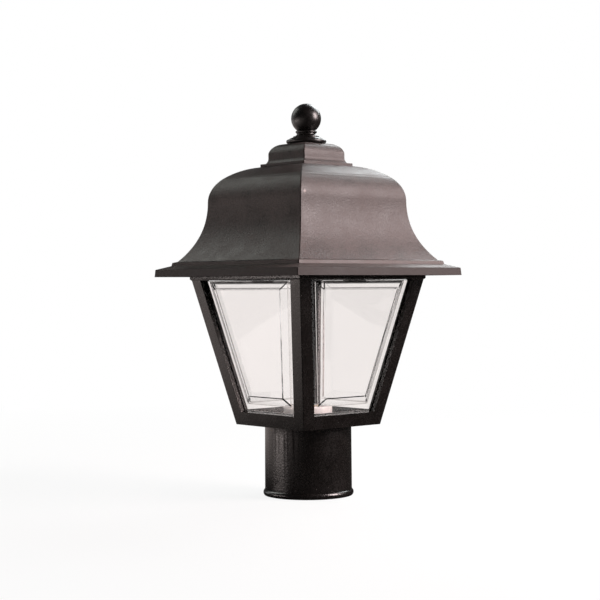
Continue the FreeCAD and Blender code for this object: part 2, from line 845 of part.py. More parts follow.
def slab(edges, start, end, half):
    """The outline and its mirror image, closed above and below and drawn out to both sides."""
    mirror = [e.mirror(Vec(0, 0, 0), Vec(1, 0, 0)) for e in edges]
    top = Part.makeLine(end, Vec(-end.x, 0, end.z))
    base = Part.makeLine(Vec(-start.x, 0, start.z), start)
    wire = Part.Wire(Part.__sortEdges__(edges + [top] + mirror + [base]))
    drawn = Part.Face(wire).extrude(Vec(0, 2 * half, 0))
    drawn.translate(Vec(0, -half, 0))
    return drawn


def mitred_solid(edges):
    """Solid whose four sides all carry the outline, mitred at the hips."""
    start, end = outline_ends(edges)
    front, side = quarter_turns(slab(edges, start, end, 2 * start.x))[:2]
    return front.common(side)


def on_diagonal(point, flat_depth):
    """A point of an outline as the hips follow it: out by the diagonal, less the depth of their flat."""
    return Vec(math.sqrt(2) * point.x - flat_depth, 0, point.z)


def diagonal_edge(edge, flat_depth):
    """An outline's line or arc as the hips follow it; a round arc becomes part of an ellipse."""
    start = on_diagonal(edge.valueAt(edge.FirstParameter), flat_depth)
    end = on_diagonal(edge.valueAt(edge.LastParameter), flat_depth)
    if edge.Curve.TypeId == "Part::GeomLine":
        return Part.makeLine(start, end)
    centre = on_diagonal(edge.Curve.Center, flat_depth)
    radius = edge.Curve.Radius
    ellipse = Part.Ellipse(centre + Vec(math.sqrt(2) * radius, 0, 0), centre + Vec(0, 0, radius), centre)
    first, last = sorted((ellipse.parameter(start), ellipse.parameter(end)))
    if last - first > math.pi:
        first, last = last, first + 2 * math.pi
    return ellipse.toShape(first, last)


def with_hip_flats(solid, edges, flat_depth):
    """Take the sharpness off a mitred solid's hips with a narrow flat."""
    start, end = outline_ends(edges)
    wider = [diagonal_edge(e, flat_depth) for e in edges]
    across = slab(wider, on_diagonal(start, flat_depth), on_diagonal(end, flat_depth), 2 * start.x)
    for cutter in quarter_turns(diagonal(across))[:2]:
        solid = solid.common(cutter)
    return solid


def make_hood():
    """One-piece bell hood: brim, flared skirt, shoulder and square cap, hollow underneath."""
    hollow = mitred_solid(hollow_outline(hood_wall, cap_top_z - hood_wall))
    middle = mitred_solid(hollow_outline(hood_wall / 2, cap_top_z - hood_wall / 2))
    outline = hood_outline()
    outside = with_hip_flats(mitred_solid(outline), outline, hip_flat)
    shell = outside.cut(hollow)
    inside = hood_seat() + hood_ribs() + hood_lugs()
    inside = inside[0].multiFuse(inside[1:]).common(middle)
    boss_foot = cap_top_z - hood_wall - cap_boss_drop
    boss = rod_between(cap_boss_radius, boss_foot, cap_top_z - hood_wall / 2)
    hood = shell.multiFuse([inside, boss] + hood_lug_drops())
    hood = hood.cut(rod_between(rod_radius + rod_hole_gap, boss_foot - overrun, cap_top_z + overrun))
    return hood.removeSplitter()


def seat_outer_half():
    """Half-width over the square wall that stands on the ring."""
    return ring_outer_half() - seat_inset


def hood_seat():
    """Square wall inside the hood that stands on the ring."""
    outer = seat_outer_half()
    return [square_tube(outer - seat_wall, outer, ring_top_z, neck_z)]


def hood_ribs():
    """Webs under the brim, from the seat out to the fascia: two a side and one at each corner."""
    ribs = []
    start = seat_outer_half() - rib_bite
    reach = brim_half - hood_wall / 2 - start
    foot = ring_top_z + rib_foot_gap
    for offset in (-rib_spacing / 2, rib_spacing / 2):
        ribs += quarter_turns(Part.makeBox(reach, rib_thickness, rib_block_height,
                                           Vec(start, offset - rib_thickness / 2, foot)))
    corner = Part.makeBox(reach * math.sqrt(2), rib_thickness, rib_block_height,
                          Vec(start * math.sqrt(2), -rib_thickness / 2, foot))
    return ribs + quarter_turns(diagonal(corner))


def lug_box(z_low, z_high, x_low, x_high, offset):
    """Block on the +X side at an offset along Y."""
    return Part.makeBox(x_high - x_low, lug_width, z_high - z_low,
                        Vec(x_low, offset - lug_width / 2, z_low))


def hood_lugs():
    """Webs that join the locating lugs to the seat."""
    webs = []
    lug_outer = ring_inner_half() - lug_gap
    inner = lug_outer - lug_thickness
    for offset in (-lug_spacing / 2, lug_spacing / 2):
        web = lug_box(ring_top_z + lug_lift, ring_top_z + lug_web, inner,
                      seat_outer_half() - seat_wall / 2, offset)
        webs += quarter_turns(web)
    return webs


def hood_lug_drops():
    """Lugs that drop inside the ring and keep the hood square to the cage."""
    drops = []
    lug_outer = ring_inner_half() - lug_gap
    for offset in (-lug_spacing / 2, lug_spacing / 2):
        drop = lug_box(ring_top_z - lug_drop, ring_top_z + lug_web, lug_outer - lug_thickness,
                       lug_outer, offset)
        drops += quarter_turns(drop)
    return drops


def make_finial_seal():
    """Rubber washer between the finial and the cap."""
    disc = rod_between(seal_radius, cap_top_z, finial_z)
    return disc.cut(rod_between(rod_radius + rod_hole_gap, cap_top_z - overrun, finial_z + overrun))


def finial_point(pair):
    """A point of the finial's profile from its radius and its height above the foot."""
    return Vec(pair[0], 0, finial_z + pair[1])


def make_finial():
    """Turned knob: flange, step, cone, neck with a ring, and a ball."""
    flange_in = finial_flange_radius - finial_flange_rounding
    flange_foot = finial_point((flange_in, 0))
    flange_side = finial_point((finial_flange_radius, finial_flange_height / 2))
    flange_top = finial_point((flange_in, finial_flange_height))
    ball_drop = math.sqrt(finial_ball_radius ** 2 - finial_ball_neck_radius ** 2)
    ball_foot = finial_point((finial_ball_neck_radius, finial_ball_rise - ball_drop))
    ball_side = finial_point((finial_ball_radius, finial_ball_rise))
    ball_top = finial_point((0, finial_ball_rise + finial_ball_radius))
    neck, hollow, cone_top = [finial_point(p) for p in (finial_neck, finial_hollow, finial_cone_top)]
    edges = [
        Part.makeLine(finial_point((0, 0)), flange_foot),
        Part.Arc(flange_foot, flange_side, flange_top).toShape(),
        Part.makeLine(finial_point(finial_crest), finial_point(finial_step)),
        Part.makeLine(finial_point(finial_cone_foot), cone_top),
        Part.Arc(cone_top, hollow, neck).toShape(),
        Part.Arc(finial_point(finial_ring_foot), finial_point(finial_ring), ball_foot).toShape(),
        Part.Arc(ball_foot, ball_side, ball_top).toShape(),
    ]
    profile = joined(edges) + [Part.makeLine(ball_top, finial_point((0, 0)))]
    knob = Part.Face(Part.Wire(profile)).revolve(Vec(0, 0, 0), Vec(0, 0, 1), 360)
    return knob.cut(rod_between(insert_radius + insert_gap, finial_z - overrun,
                                finial_z + insert_length + overrun))


def make_finial_insert():
    """Brass bush pressed into the finial, which the rod screws into."""
    top = finial_z + insert_length
    groove_foot = finial_z + insert_groove_foot
    groove_top = groove_foot + insert_groove_width
    groove = rod_between(insert_radius + overrun, groove_foot, groove_top)
    groove = groove.cut(rod_between(insert_radius - insert_groove_depth, groove_foot, groove_top))
    bush = rod_between(insert_radius, finial_z + insert_foot_gap, top)
    return bush.cut(groove).cut(rod_between(rod_radius + rod_gap, finial_z, top + overrun))


# Lamp socket


def bracket_screw_radius():
    """Distance of the bracket's screws from the axis, over the collar's wall."""
    return (throat_radius + collar_radius) / 2


def bracket_screw_places():
    """Tops of the heads of the bracket's screws."""
    offset = bracket_screw_radius() / math.sqrt(2)
    top = plate_top_z + bracket_thickness + small_screw[2]
    return [(offset, offset, top), (-offset, -offset, top)]


def make_socket_bracket():
    """Steel strap that hangs the socket inside the collar."""
    leg = socket_radius + bracket_leg_gap + bracket_thickness
    ear_top = plate_top_z + bracket_thickness
    ear_end = bracket_screw_radius() + bracket_ear_margin
    points = [(-ear_end, ear_top), (-leg + bracket_thickness, ear_top),
              (-leg + bracket_thickness, bracket_z + bracket_thickness),
              (leg - bracket_thickness, bracket_z + bracket_thickness),
              (leg - bracket_thickness, ear_top), (ear_end, ear_top)]
    strap = diagonal(bent_strip(points, bracket_thickness, bracket_width, bracket_bend_radius))
    for place in bracket_screw_places():
        strap = strap.cut(aimed(screw_hole(small_screw), place))
    for place in socket_screw_places():
        strap = strap.cut(aimed(screw_hole(socket_screw), place, (0, 0, -1)))
    return strap


def make_bracket_screws():
    """Screws down through the strap's ears into the collar's wall."""
    return [aimed(screw(small_screw), place) for place in bracket_screw_places()]


def socket_screw_places():
    """Tops of the heads of the screws up into the socket."""
    offset = socket_screw_offset / math.sqrt(2)
    level = bracket_z - socket_screw[2]
    return [(offset, offset, level), (-offset, -offset, level)]


def make_socket_screws():
    """Screws up through the strap into the socket's base."""
    return [aimed(screw(socket_screw), place, (0, 0, -1)) for place in socket_screw_places()]


def terminal_places():
    """Tops of the heads of the two wire screws, in pockets on the sides away from the strap's legs."""
    pocket_floor = socket_radius - socket_base_inset - terminal_pocket_depth
    radius = pocket_floor + terminal_screw[2] + terminal_head_inset
    offset = radius / math.sqrt(2)
    level = socket_z + terminal_height
    return [((offset, -offset, level), (1, -1, 0)), ((-offset, offset, level), (-1, 1, 0))]


def make_socket_body():
    """Glazed porcelain lamp socket, open at the top."""
    base = socket_radius - socket_base_inset
    shoulder = socket_z + socket_base_height
    rim = socket_rim_chamfer
    body = turned([(base - socket_foot_chamfer, socket_z), (base, socket_z + socket_foot_chamfer),
                   (base, shoulder), (socket_radius, shoulder + socket_base_inset),
                   (socket_radius, socket_top_z - rim), (socket_radius - rim, socket_top_z)])
    bore = shell_radius + shell_wall + shell_gap
    body = body.cut(rod_between(bore, shell_z, socket_top_z + overrun))
    body = body.cut(rod_between(contact_well_radius, socket_z + socket_floor, shell_z + overrun))
    mouth = Part.makeCone(bore, socket_radius - socket_rim_wall + rim, rim, Vec(0, 0, socket_top_z - rim))
    body = body.cut(mouth)
    for place, direction in terminal_places():
        aim = Vec(*direction).normalize()
        seat = Vec(*place) - aim * terminal_screw[2]
        body = body.cut(Part.makeCylinder(terminal_pocket_radius, socket_radius, seat, aim))
        body = body.cut(aimed(screw_hole(terminal_screw), place, direction))
    for place in socket_screw_places():
        body = body.cut(aimed(screw_hole(socket_screw), place, (0, 0, -1)))
    return body


def make_socket_shell():
    """Brass screw shell that the lamp's cap turns into; its fine thread is left off."""
    top = socket_top_z - shell_top_gap
    shell = rod_between(shell_radius + shell_wall, shell_z, top)
    shell = shell.cut(rod_between(shell_radius, shell_z + shell_wall, top + overrun))
    return shell.cut(rod_between(shell_floor_hole, shell_z - overrun, top + overrun))


def make_socket_contact():
    """Springy centre contact in the well below the shell."""
    foot = socket_z + socket_floor
    points = [(-contact_half, foot + contact_thickness),
              (-contact_half + contact_foot_length, foot + contact_thickness),
              (contact_ramp_end, foot + contact_rise), (contact_tip, foot + contact_rise)]
    return bent_strip(points, contact_thickness, contact_width, contact_bend_radius)


def make_terminal_screws():
    """Wire screws on the socket's sides."""
    return [aimed(screw(terminal_screw), place, direction) for place, direction in terminal_places()]


def save(name, shape):
    """Write one sub-part, which may be a group of separate solids."""
    solids = shape if isinstance(shape, list) else shape.Solids
    if len(solids) == 1:
        result = solids[0].Solids[0]
    else:
        result = Part.makeCompound([s.Solids[0] for s in solids])
    result.exportStep("parts/" + name + ".step")


def main():
    os.makedirs("parts", exist_ok=True)
    save("fitter_collar", make_fitter_collar())
    save("set_screws", make_set_screws())
    save("fitter_screws", make_fitter_screws())
    save("cage", make_cage())
    for side, name in enumerate(("pane_front", "pane_right", "pane_back", "pane_left")):
        save(name, make_pane(side))
    save("top_ring", make_top_ring())
    save("ring_screws", make_ring_screws())
    save("crossbar", make_crossbar())
    save("crossbar_screws", make_bar_screws())
    save("threaded_rod", make_threaded_rod())
    save("rod_nuts", make_rod_nuts())
    save("rod_washers", make_rod_washers())
    save("hood", make_hood())
    save("finial_seal", make_finial_seal())
    save("finial", make_finial())
    save("finial_insert", make_finial_insert())
    save("socket_bracket", make_socket_bracket())
    save("bracket_screws", make_bracket_screws())
    save("socket_body", make_socket_body())
    save("socket_shell", make_socket_shell())
    save("socket_contact", make_socket_contact())
    save("socket_screws", make_socket_screws())
    save("terminal_screws", make_terminal_screws())


main()
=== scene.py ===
import math

import bmesh
import bpy
from mathutils import Matrix, Vector


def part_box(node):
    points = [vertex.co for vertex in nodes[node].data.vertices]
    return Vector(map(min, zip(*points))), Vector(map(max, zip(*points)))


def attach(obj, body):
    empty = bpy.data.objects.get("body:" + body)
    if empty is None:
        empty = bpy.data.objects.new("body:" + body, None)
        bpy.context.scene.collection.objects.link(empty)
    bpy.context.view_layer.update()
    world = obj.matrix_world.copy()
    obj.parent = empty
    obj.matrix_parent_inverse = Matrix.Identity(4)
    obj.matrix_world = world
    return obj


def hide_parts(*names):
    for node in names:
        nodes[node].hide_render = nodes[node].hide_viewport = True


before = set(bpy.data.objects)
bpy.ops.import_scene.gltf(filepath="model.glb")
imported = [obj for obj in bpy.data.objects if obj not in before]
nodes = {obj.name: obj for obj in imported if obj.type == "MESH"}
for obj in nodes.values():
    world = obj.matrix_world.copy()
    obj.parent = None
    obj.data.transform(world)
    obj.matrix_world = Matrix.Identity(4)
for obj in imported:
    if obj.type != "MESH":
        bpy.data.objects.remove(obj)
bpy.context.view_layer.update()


# Fitter collar. A round aluminium casting with a rolled bead at its mouth and a square plate on
# top, powder coated in a warm black. It slips over the post and carries everything else.

class Wire:
    """One node socket. Sums on it add Math nodes, so that a finish's maths reads as Python."""

    def __init__(self, tree, socket):
        self.tree = tree
        self.socket = socket

    def node(self, kind, settings, sockets, outlet=0):
        """Add any node: its settings are set first, then its sockets' values or links."""
        made = self.tree.nodes.new(kind)
        for key, value in settings.items():
            setattr(made, key, value)
        for key, value in sockets.items():
            if isinstance(value, Wire):
                self.tree.links.new(value.socket, made.inputs[key])
            else:
                made.inputs[key].default_value = value
        return Wire(self.tree, made.outputs[outlet])

    def maths(self, operation, first, second, clamped=False):
        settings = {"operation": operation, "use_clamp": clamped}
        return self.node("ShaderNodeMath", settings, {0: first, 1: second})

    def __add__(self, other):
        return self.maths("ADD", self, other)

    def __radd__(self, other):
        return self.maths("ADD", other, self)

    def __sub__(self, other):
        return self.maths("SUBTRACT", self, other)

    def __rsub__(self, other):
        return self.maths("SUBTRACT", other, self)

    def __mul__(self, other):
        return self.maths("MULTIPLY", self, other)

    def __rmul__(self, other):
        return self.maths("MULTIPLY", other, self)

    def __abs__(self):
        return self.maths("ABSOLUTE", self, 0.0)


def new_finish(name, **constants):
    """A material with one Principled shader: its constants, the object coordinates, and a plug."""
    material = bpy.data.materials.new(name)
    material.use_nodes = True
    tree = material.node_tree
    shader = tree.nodes["Principled BSDF"]
    for key, value in constants.items():
        shader.inputs[key.replace("_", " ")].default_value = value
    place = Wire(tree, tree.nodes.new("ShaderNodeTexCoord").outputs["Object"])

    def plug(socket, wire):
        tree.links.new(wire.socket, shader.inputs[socket])

    return material, place, plug


def noise(place, size, detail=2.0, roughness=0.5):
    """Noise with features of a size in metres, from 0 to 1."""
    return place.node("ShaderNodeTexNoise", {}, {"Vector": place, "Scale": 1.0 / size,
                                                 "Detail": detail, "Roughness": roughness})


def sharpened(pattern, gain):
    """A pattern from 0 to 1 with its contrast raised, cut off at both ends."""
    return pattern.maths("ADD", gain * (pattern - 0.5), 0.5, clamped=True)


def blend_colours(factor, first, second):
    """A colour between two, by a Wire."""
    return factor.node("ShaderNodeMix", {"data_type": "RGBA"},
                       {"Factor": factor, 6: (*first, 1.0), 7: (*second, 1.0)}, outlet=2)


def dimmed(colour, factor):
    """A colour Wire times a plain Wire."""
    return colour.node("ShaderNodeMix", {"data_type": "RGBA", "blend_type": "MULTIPLY"},
                       {0: 1.0, 6: colour, 7: factor}, outlet=2)


def bump(height, depth, strength=1.0):
    """A normal from a height Wire whose full range stands for a depth in metres."""
    return height.node("ShaderNodeBump", {},
                       {"Height": height, "Distance": depth, "Strength": strength})


def powder_coat(name, dark, light, shine, gloss, tooth, shade=None):
    """Powder coat on a casting: patchy mottling, an orange peel and a fine grain, as deep as its
    tooth. A shade turns the place into a factor on the colour and an amount off the roughness."""
    material, place, plug = new_finish(name, Specular_IOR_Level=gloss)
    patch = sharpened(noise(place, size=0.024, detail=5.0, roughness=0.65), 3.0)
    peel = noise(place, size=0.005)
    grain = sharpened(noise(place, size=0.0018, roughness=0.6), 3.5)
    colour = blend_colours(0.5 * patch + 0.5 * grain, dark, light)
    rough = shine + 0.12 * (patch - 0.5) + 0.08 * (grain - 0.5)
    if shade:
        factor, smoother = shade(place)
        colour = dimmed(colour, factor)
        rough = rough - smoother
    plug("Base Color", colour)
    plug("Roughness", rough)
    plug("Normal", bump(grain + 1.2 * peel, tooth, 0.7))
    return material


def dress(piece, material):
    """Give a piece its one material."""
    piece.data.materials.clear()
    piece.data.materials.append(material)


def show(piece):
    """Put a new piece in the scene."""
    bpy.context.scene.collection.objects.link(piece)


def shade_smooth(bm, edge_angle):
    """Smooth faces, with the edges sharper than an angle in degrees kept sharp."""
    for face in bm.faces:
        face.smooth = True
    for edge in bm.edges:
        edge.smooth = edge.is_manifold and edge.calc_face_angle() < math.radians(edge_angle)


def eased_copy(node, name, body, material, width):
    """A piece that stands for a CAD node: the same casting, its sharp edges eased by a width."""
    merge_distance = 2e-6
    flat_angle = math.radians(0.2)
    mesh = nodes[node].data.copy()
    mesh.name = name
    piece = bpy.data.objects.new(name, mesh)
    show(piece)
    bm = bmesh.new()
    bm.from_mesh(mesh)
    bmesh.ops.remove_doubles(bm, verts=bm.verts, dist=merge_distance)
    bmesh.ops.dissolve_limit(bm, angle_limit=flat_angle, verts=bm.verts, edges=bm.edges)
    shade_smooth(bm, edge_angle=25.0)
    bm.to_mesh(mesh)
    bm.free()
    easing = piece.modifiers.new("eased edges", "BEVEL")
    easing.width = width
    easing.segments = 2
    easing.limit_method = "ANGLE"
    easing.angle_limit = math.radians(30.0)
    easing.harden_normals = True
    dress(piece, material)
    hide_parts(node)
    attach(piece, body)


casting_dark = (0.0028, 0.0023, 0.0020)
casting_light = (0.0075, 0.0061, 0.0055)
casting_coat = powder_coat("black powder coat", casting_dark, casting_light,
                           shine=0.25, gloss=0.6, tooth=0.00006)
eased_copy("fitter_collar", "collar_casting", "base", casting_coat, width=0.0004)


# Cage. Four tapered posts on a foot rail, cast in one in aluminium with the same coat. It stands on
# the collar's plate, and four countersunk screws come up through the plate into it.

eased_copy("cage", "cage_casting", "base", casting_coat, width=0.0004)


# Top ring. A flat chamfered ring, cast and coated as the cage is. It is screwed down on the four
# posts, ties their heads together and shuts the slots that the panes stand in.

eased_copy("top_ring", "ring_casting", "base", casting_coat, width=0.0003)


# Dark screws. Blackened steel: four in the collar's plate, four in the ring, and two headless set
# screws in the collar's back and side that grip the post.

screw_dark = (0.018, 0.017, 0.016)
screw_worn = (0.05, 0.047, 0.044)
blackened, place, plug = new_finish("blackened steel", Metallic=0.85)
wear = noise(place, size=0.0018, detail=3.0)
plug("Base Color", blend_colours(wear, screw_dark, screw_worn))
plug("Roughness", 0.34 + 0.16 * wear)
for name in ("fitter_screws", "set_screws", "ring_screws"):
    dress(nodes[name], blackened)


# Panes. Four clear acrylic mouldings, each in one even wall with a raised middle and bevels all
# round. They slide down the slots behind the posts before the ring goes on. Painted shade greys
# the creases at the bevels' outer edge, and two painted shade lines lie along the head.

def axes(place):
    """The three coordinates of the object, each as a Wire."""
    split = place.node("ShaderNodeSeparateXYZ", {}, {0: place}).socket.node.outputs
    return [Wire(place.tree, split[axis]) for axis in "XYZ"]


def ray(place, kind):
    """1 for one kind of light ray, 0 for the others."""
    return place.node("ShaderNodeLightPath", {}, {}, outlet=kind)


def climb(offset, length):
    """0 up to where an offset is 0, then rising to 1 over a length in metres."""
    return offset.maths("MULTIPLY", offset, 1 / length, clamped=True)


def ridge(offset, half_width):
    """1 where an offset is 0, falling to 0 on both sides over a half width in metres."""
    return offset.maths("SUBTRACT", 1.0, abs(offset) * (1 / half_width), clamped=True)


def mix_surface(material, factor, second):
    """Let a second shader take the place of a material's own one, by a Wire."""
    tree = material.node_tree
    first = Wire(tree, tree.nodes["Principled BSDF"].outputs[0])
    mixed = factor.node("ShaderNodeMixShader", {}, {0: factor, 1: first, 2: second})
    tree.links.new(mixed.socket, tree.nodes["Material Output"].inputs["Surface"])


cage_low, cage_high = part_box("cage")
cage_slope = 0.2161
crease_inset = 0.0225
crease_foot = cage_low.z + 0.02125
crease_head = cage_high.z - 0.00145
crease_width = 0.0006
mitre_slope = 1.15
crisp = 1 / 3000
clear_tint = (0.955, 0.928, 0.917)
# Painted shade: the grey of the dark refraction lines at the bevels' outer creases.
crease_painted_shade = (0.44, 0.40, 0.38)
shadow_tint = (0.92, 0.90, 0.89, 1.0)
# Painted shade: depth below the head crease, half width and darkness of the two lines along the
# head.
painted_shade_lines = ((0.0010, 0.0018, 0.75), (0.0067, 0.0007, 0.45))

clear, place, plug = new_finish("clear acrylic", Transmission_Weight=1.0, IOR=1.49, Roughness=0.0)
along_x, along_y, height = axes(place)
across = place.maths("MINIMUM", abs(along_x), abs(along_y))
side_at_floor = crease_inset - cage_high.x + cage_slope * cage_high.z
past_side = across - cage_slope * height + side_at_floor
past_end = place.maths("MAXIMUM", crease_foot - height, height - crease_head)
# Painted shade greys the outer creases, unevenly.
crease = ridge(place.maths("MAXIMUM", past_side, past_end), crease_width)
greyed = blend_colours(crease * (0.5 + noise(place, size=0.01)), clear_tint, crease_painted_shade)

# Painted shade: two dark lines along each pane's head, one just below the head crease, one on the
# inner crease.
below_head = crease_head - height
on_head = climb(0 - past_side - mitre_slope * below_head, crisp)
painted_shade = 0.0
for depth, half_width, share in painted_shade_lines:
    line = ridge(below_head - depth, half_width)
    painted_shade = painted_shade + share * line.maths("MULTIPLY", 1.8, line, clamped=True)
uneven = 0.6 + 0.8 * noise(place, size=0.006)
plug("Base Color", dimmed(greyed, 1 - on_head * painted_shade * uneven))
plug("Normal", bump(noise(place, size=0.028, detail=1.0), 0.0006, 0.25))

open_to_light = place.node("ShaderNodeBsdfTransparent", {}, {"Color": shadow_tint})
mix_surface(clear, ray(place, "Is Shadow Ray"), open_to_light)
for name in ("pane_front", "pane_right", "pane_back", "pane_left"):
    dress(nodes[name], clear)


# Bright steel. The joggled crossbar on the ring, the strap that holds the socket, and their screws,
# nuts and washers, all zinc plated.

zinc_dull = (0.50, 0.50, 0.49)
zinc_bright = (0.66, 0.66, 0.65)
zinc, place, plug = new_finish("zinc plated steel", Metallic=1.0)
bloom = noise(place, size=0.007, detail=4.0, roughness=0.6)
drawn = noise(place, size=0.0007)
plug("Base Color", blend_colours(bloom, zinc_dull, zinc_bright))
plug("Roughness", 0.26 + 0.20 * bloom + 0.06 * (drawn - 0.5))
plug("Normal", bump(drawn, 0.00003, 0.5))
for name in ("crossbar", "crossbar_screws", "rod_nuts", "rod_washers",
             "socket_bracket", "bracket_screws", "socket_screws"):
    dress(nodes[name], zinc)


# Threaded rod. Zinc plated steel with a rolled thread along its whole length. It stands in the
# crossbar between two nuts and ends inside the finial.

def threaded_wall(name, profile, pitch, foot, top, steps):
    """A threaded wall: a line of pitches turns once as it rises by a pitch, and is cut square."""
    seam_distance = 1e-6
    sliver_distance = 3e-5
    bm = bmesh.new()
    line = []
    for turn in range(-2, math.ceil((top - foot) / pitch) + 2):
        for radius, share in profile[:-1]:
            line.append(bm.verts.new((radius, 0.0, foot + (turn + share) * pitch)))
    wires = [bm.edges.new(pair) for pair in zip(line, line[1:])]
    bmesh.ops.spin(bm, geom=line + wires, cent=(0, 0, 0), axis=(0, 0, 1), angle=2 * math.pi,
                   steps=steps, dvec=(0, 0, pitch / steps), use_merge=False)
    bmesh.ops.remove_doubles(bm, verts=bm.verts, dist=seam_distance)
    for level, below in ((foot, True), (top, False)):
        bmesh.ops.bisect_plane(bm, geom=bm.verts[:] + bm.edges[:] + bm.faces[:],
                               plane_co=(0, 0, level), plane_no=(0, 0, 1),
                               clear_inner=below, clear_outer=not below)
    bmesh.ops.remove_doubles(bm, verts=bm.verts, dist=sliver_distance)
    piece = bpy.data.objects.new(name, bpy.data.meshes.new(name))
    show(piece)
    return bm, piece


def finish_mesh(bm, piece, edge_angle):
    """Write a bmesh to its piece, smooth but for its sharp edges."""
    bmesh.ops.recalc_face_normals(bm, faces=bm.faces)
    shade_smooth(bm, edge_angle)
    bm.to_mesh(piece.data)
    bm.free()


rod_low, rod_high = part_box("threaded_rod")
rod_crest = 0.0030
rod_root = 0.0024
rod_pitch = 0.0010
rod_profile = ((rod_root, 0.0), (rod_crest, 0.44), (rod_crest, 0.56), (rod_root, 1.0))
bm, rod = threaded_wall("threaded_rod_rolled", rod_profile, rod_pitch,
                        rod_low.z, rod_high.z, steps=20)
bmesh.ops.holes_fill(bm, edges=[edge for edge in bm.edges if edge.is_boundary], sides=0)
finish_mesh(bm, rod, edge_angle=35.0)
dress(rod, zinc)
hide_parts("threaded_rod")
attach(rod, "base")


# Lamp socket. A pale glazed porcelain body with a wire screw on each side. Two screws hold it on
# the steel strap, so that it stands in the middle of the collar.

glaze_grey = (0.60, 0.605, 0.61)
glaze_pale = (0.68, 0.685, 0.68)
glaze, place, plug = new_finish("porcelain glaze", Coat_Weight=0.6, Coat_Roughness=0.05)
tone = noise(place, size=0.018, detail=3.0)
plug("Base Color", blend_colours(tone, glaze_grey, glaze_pale))
plug("Roughness", 0.22 + 0.10 * tone)
plug("Normal", bump(noise(place, size=0.004), 0.00005, 0.5))
dress(nodes["socket_body"], glaze)


# Screw shell. Thin brass rolled into the lamp's coarse thread, with a floor that leaves the centre
# open for the contact. It sits in the porcelain.

brass_dull = (0.52, 0.36, 0.15)
brass_bright = (0.72, 0.53, 0.25)
brass, place, plug = new_finish("brass", Metallic=1.0)
tarnish = noise(place, size=0.006, detail=4.0, roughness=0.6)
plug("Base Color", blend_colours(tarnish, brass_dull, brass_bright))
plug("Roughness", 0.24 + 0.20 * tarnish)
plug("Normal", bump(noise(place, size=0.0012), 0.00003, 0.4))

shell_low, shell_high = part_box("socket_shell")
shell_crest = shell_high.x
shell_root = shell_crest - 0.0007
shell_round = 0.0001
shell_pitch = 0.00363
shell_sheet = 0.0003
shell_hole = 0.0080
rolled = ((shell_root, 0.0), (shell_root + shell_round, 0.12), (shell_crest - shell_round, 0.38),
          (shell_crest, 0.5), (shell_crest - shell_round, 0.62), (shell_root + shell_round, 0.88),
          (shell_root, 1.0))
bm, shell = threaded_wall("screw_shell_rolled", rolled, shell_pitch,
                          shell_low.z, shell_high.z, steps=40)
foot_level = shell_low.z + 1e-5
rim = [edge for edge in bm.edges
       if edge.is_boundary and all(vert.co.z < foot_level for vert in edge.verts)]
floor_ring = bmesh.ops.extrude_edge_only(bm, edges=rim)["geom"]
for part in floor_ring:
    if isinstance(part, bmesh.types.BMVert):
        part.co.xy = part.co.xy.normalized() * shell_hole
bmesh.ops.recalc_face_normals(bm, faces=bm.faces)
bmesh.ops.solidify(bm, geom=bm.faces[:], thickness=shell_sheet)
finish_mesh(bm, shell, edge_angle=40.0)
dress(shell, brass)
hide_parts("socket_shell")
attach(shell, "base")
for name in ("socket_contact", "terminal_screws", "finial_insert"):
    dress(nodes[name], brass)


# Hood. One aluminium casting: a brim with a fascia, a flared skirt and a square cap, with narrow
# flats down its hips. Its coat is a satin bronze black, a little lighter than the cage's.

brim_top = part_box("top_ring")[1].z + 0.0072
# Painted shade darkens the fascia; painted light pales the skirt's foot, fading over a height.
fascia_painted_shade = 0.5
painted_light_gain = 0.85
painted_light_fade = 0.42
painted_light_height = 0.045
hip_width = 0.0016
hip_dirt = 0.9
front_start = 0.05
# Painted highlight: a small pale, smoother spot beside the front hip.
painted_glint_height = 0.2878
painted_glint_inset = 0.0050
painted_glint_width = 0.0024
painted_glint_gain = 5.0


def hood_shade(place):
    """Painted light makes the skirt's foot paler, painted shade makes the fascia below the brim
    darker, dirt lies in a thin line down each hip, and a painted highlight pales one small spot by
    the front hip."""
    along_x, along_y, height = axes(place)
    above = climb(height - brim_top, crisp)
    rise = climb(height - brim_top, painted_light_height)
    beside = abs(along_x) - abs(along_y)
    dirt = ridge(beside, hip_width) * noise(place, size=0.012, detail=3.0)
    in_front = climb(along_x - along_y - front_start, front_start)
    off_spot = abs(beside - painted_glint_inset) + abs(height - painted_glint_height)
    # Painted highlight beside the front hip.
    painted_glint = in_front * ridge(off_spot, painted_glint_width)
    # Painted shade on the fascia below the brim, painted light on the skirt's foot above it.
    tone = fascia_painted_shade + above * (painted_light_gain - painted_light_fade * rise)
    return tone * (1 - hip_dirt * dirt) + painted_glint_gain * painted_glint, 0.1 * (above - 1) + 0.1 * painted_glint


hood_dark = (0.028, 0.0212, 0.0198)
hood_light = (0.072, 0.0550, 0.0515)
hood_coat = powder_coat("satin bronze black", hood_dark, hood_light,
                        shine=0.48, gloss=0.3, tooth=0.00010, shade=hood_shade)
eased_copy("hood", "hood_casting", "roof", hood_coat, width=0.0004)


# Finial. A turned knob with a flange, a neck ring and a ball, in a glossier black, on a thin rubber
# washer. A brass bush inside it takes the rod.

knob_dark = (0.0040, 0.0035, 0.0032)
knob_light = (0.0080, 0.0068, 0.0063)
knob_coat = powder_coat("glossy black", knob_dark, knob_light,
                        shine=0.34, gloss=0.45, tooth=0.00001)
dress(nodes["finial"], knob_coat)

rubber_dark = (0.010, 0.010, 0.010)
rubber_dusty = (0.022, 0.021, 0.020)
rubber, place, plug = new_finish("black rubber")
speckle = noise(place, size=0.0015, detail=3.0)
plug("Base Color", blend_colours(speckle, rubber_dark, rubber_dusty))
plug("Roughness", 0.75 + 0.15 * speckle)
dress(nodes["finial_seal"], rubber)


# Paper floor. A plain white sweep under the lantern, which keeps the lantern's shadow close by and
# fades into the white background further out. Glossy coats see it bright on the left only.

